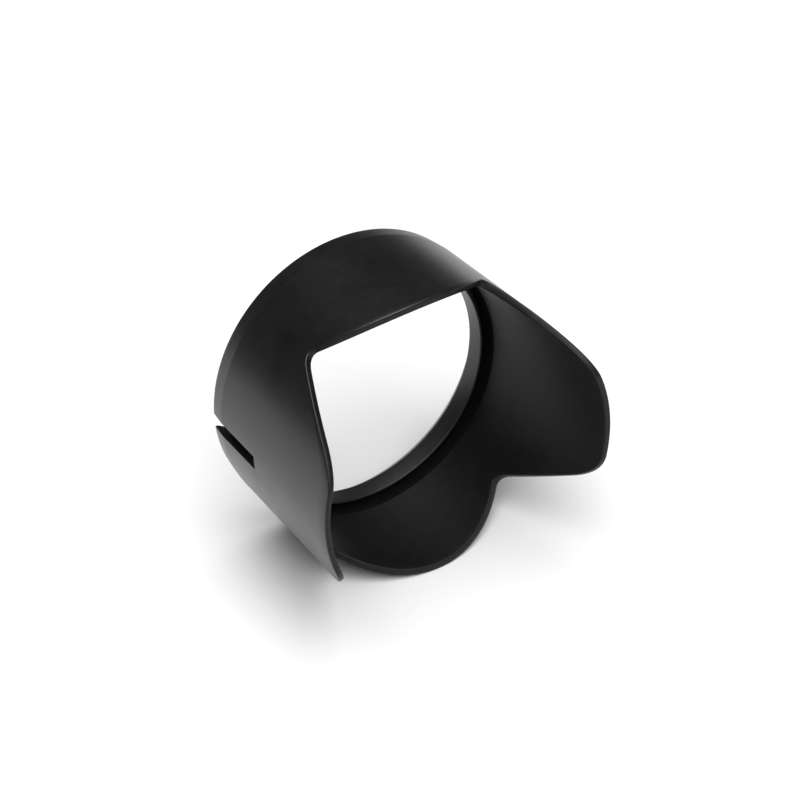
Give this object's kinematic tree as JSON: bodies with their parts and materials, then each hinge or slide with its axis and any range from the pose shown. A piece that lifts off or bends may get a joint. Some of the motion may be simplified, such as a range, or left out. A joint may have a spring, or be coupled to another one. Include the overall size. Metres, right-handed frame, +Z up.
{
  "type": "lens hood",
  "caption": "Petal lens hood: a flared black shell with long and short petals, a rear slot and a captive mount ring that turns inside it.",
  "frame": {"origin": "on the optical axis, halfway along the hood between its rear edge and the crests of its long petals", "axes": "+Y along the optical axis towards the lens, so the petals point to -Y; +Z up as the hood lies on its side, through a short petal; +X and -X through the long petals, with the slot at -X"},
  "size_m": [0.0724, 0.0516, 0.071],
  "materials": {
    "shell_plastic": "satin black moulded plastic with a fine grain",
    "ring_plastic": "smoother black plastic",
    "washer_fibre": "dull black fibre",
    "spring_steel": "blackened spring steel"
  },
  "bodies": {
    "hood": {"hood_shell": "shell_plastic", "friction_washer": "washer_fibre", "retaining_ring": "spring_steel"},
    "ring": {"mount_ring": "ring_plastic"}
  },
  "joints": [
    {"name": "ring_turn", "type": "hinge", "parent": "hood", "child": "ring", "pos_m": [0, 0.0195, 0], "axis": [0, 1, 0], "continuous": true}
  ]
}
